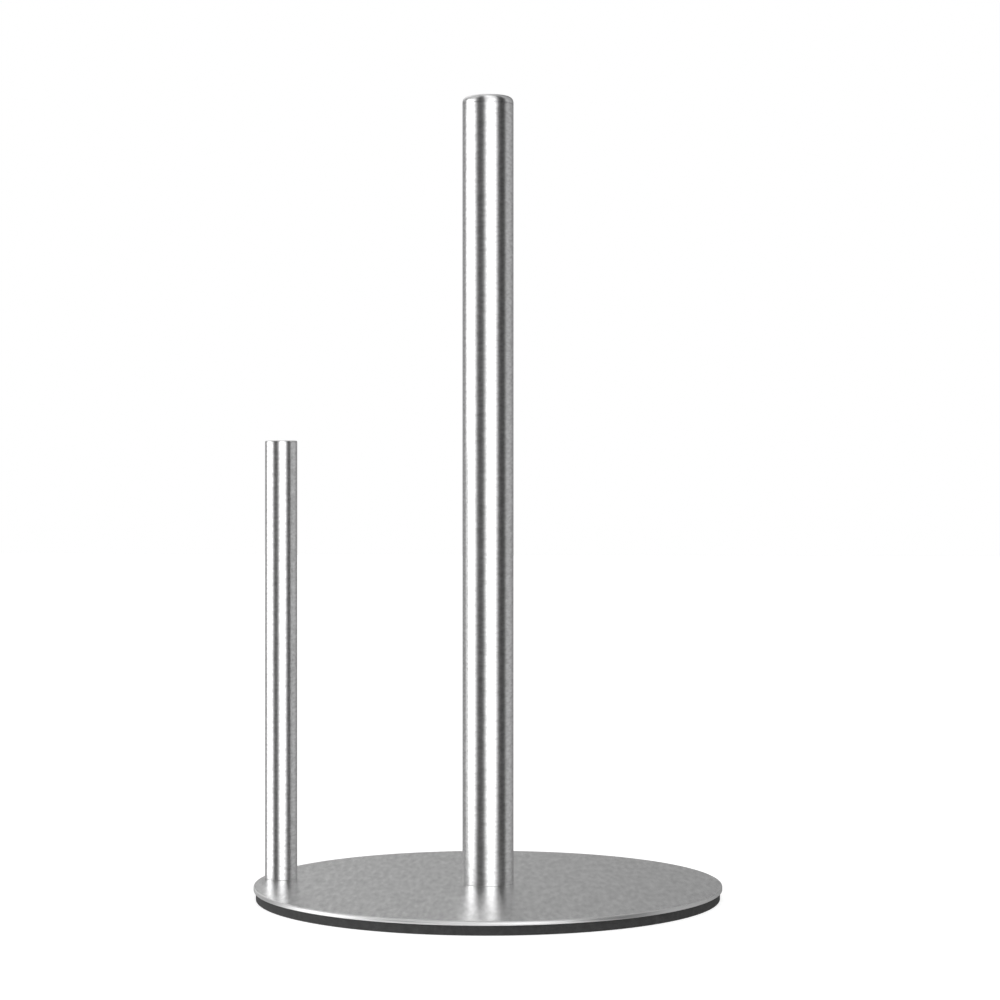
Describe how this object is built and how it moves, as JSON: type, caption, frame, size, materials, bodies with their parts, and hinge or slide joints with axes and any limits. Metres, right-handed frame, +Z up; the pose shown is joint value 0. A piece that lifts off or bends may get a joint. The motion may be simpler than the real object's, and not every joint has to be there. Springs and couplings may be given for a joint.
{
  "type": "paper towel holder",
  "caption": "Free-standing paper towel holder: round steel base on a rubber mat, a tall middle post for the roll and a shorter post near the rim to tear against.",
  "frame": {"origin": "on the floor, under the middle of the round base and of the middle post", "axes": "+Z up along the posts, -X from the middle post to the side post, +Y across"},
  "size_m": [0.183, 0.183, 0.3132],
  "materials": {
    "satin_steel_post": "satin, fine grain round the post",
    "satin_steel_base": "fine brushed satin, from front to back",
    "turned_steel": "plain turned",
    "zinc_plated_steel": "bright zinc plate",
    "spring_steel": "plain",
    "mat_rubber": "matt, finely textured",
    "adhesive_film": "matt film"
  },
  "bodies": {
    "root": {"base_plate": "satin_steel_base", "base_mat": "mat_rubber", "mat_adhesive": "adhesive_film", "main_post_tube": "satin_steel_post", "main_post_cap": "satin_steel_post", "main_post_insert": "turned_steel", "main_post_screw": "zinc_plated_steel", "main_post_washer": "zinc_plated_steel", "main_post_lock_washer": "spring_steel", "side_post_tube": "satin_steel_post", "side_post_cap": "satin_steel_post", "side_post_insert": "turned_steel", "side_post_screw": "zinc_plated_steel", "side_post_washer": "zinc_plated_steel", "side_post_lock_washer": "spring_steel"}
  },
  "joints": []
}
